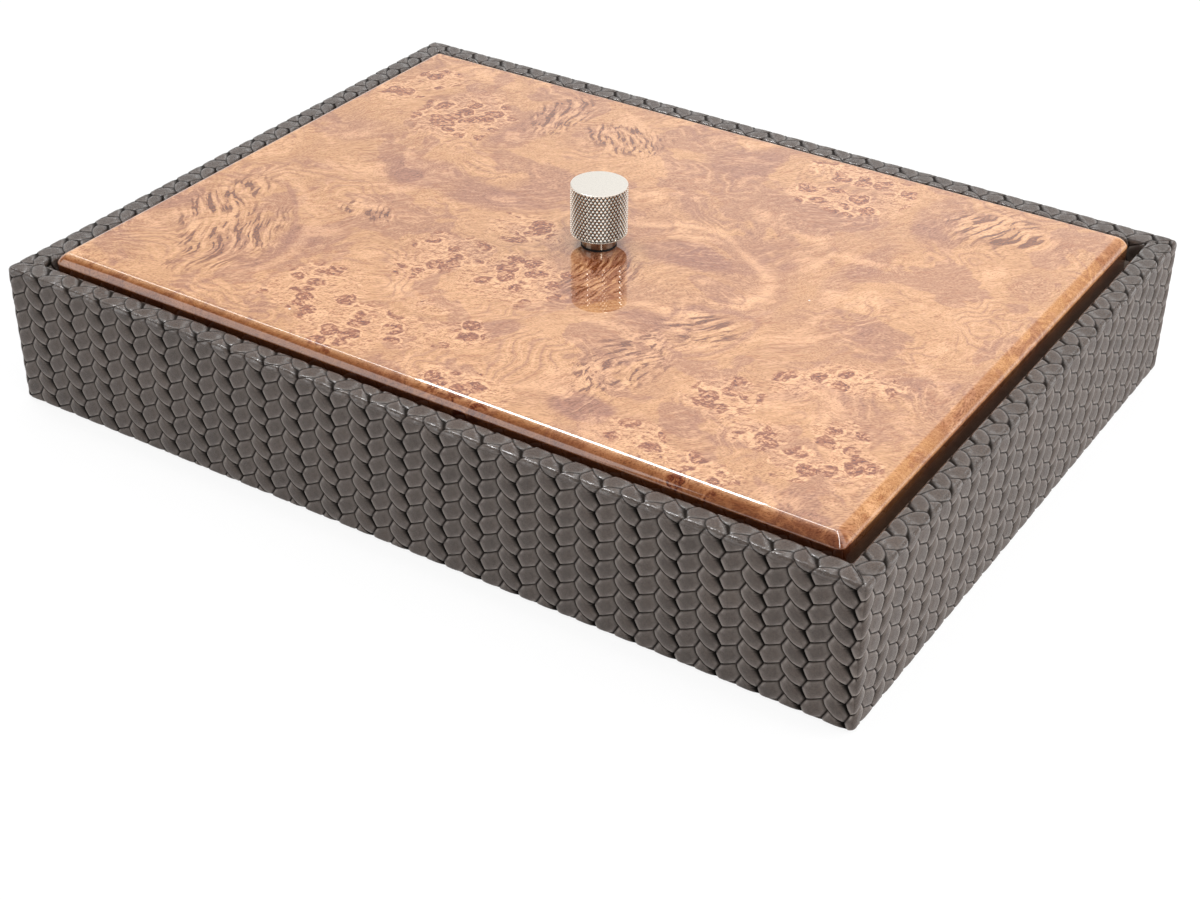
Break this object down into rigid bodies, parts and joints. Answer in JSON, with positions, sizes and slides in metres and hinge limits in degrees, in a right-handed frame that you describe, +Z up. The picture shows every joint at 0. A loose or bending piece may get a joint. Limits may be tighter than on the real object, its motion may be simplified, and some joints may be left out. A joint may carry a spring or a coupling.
{
  "type": "stationery box",
  "caption": "Low rectangular box for papers, covered in woven-look leather, with a loose bevelled burl wood lid lifted by a knurled metal knob.",
  "frame": {"origin": "on the table, under the middle of the box", "axes": "+X to the right along the long side, +Y to the back, +Z up through the lid and its knob"},
  "size_m": [0.33, 0.246, 0.0794],
  "materials": {
    "leather": "matt leather embossed with a basket weave",
    "board": "raw fibreboard",
    "dowel": "plain beech",
    "felt": "pressed felt",
    "lining": "short-napped suede cloth",
    "card": "grey board",
    "burl": "burl leaf under clear gloss lacquer",
    "knob_metal": "satin nickel, diamond knurled",
    "gasket": "black, matt",
    "steel": "zinc plated"
  },
  "bodies": {
    "box": {"front_board": "board", "back_board": "board", "left_board": "board", "right_board": "board", "base_board": "board", "corner_dowels": "dowel", "leather_front": "leather", "leather_back": "leather", "leather_left": "leather", "leather_right": "leather", "base_felt": "felt", "liner_front": "board", "liner_back": "board", "liner_left": "board", "liner_right": "board", "lining_front": "lining", "lining_back": "lining", "lining_left": "lining", "lining_right": "lining", "floor_card": "card", "floor_lining": "lining"},
    "lid": {"lid_core": "board", "lid_veneer": "burl", "lid_card": "card", "lid_lining": "lining", "knob": "knob_metal", "knob_gasket": "gasket", "knob_screw": "steel", "knob_washer": "steel"}
  },
  "joints": [
    {"name": "lid_lift", "type": "slide", "parent": "box", "child": "lid", "axis": [0, 0, 1], "range_m": [0, 0.1]}
  ]
}
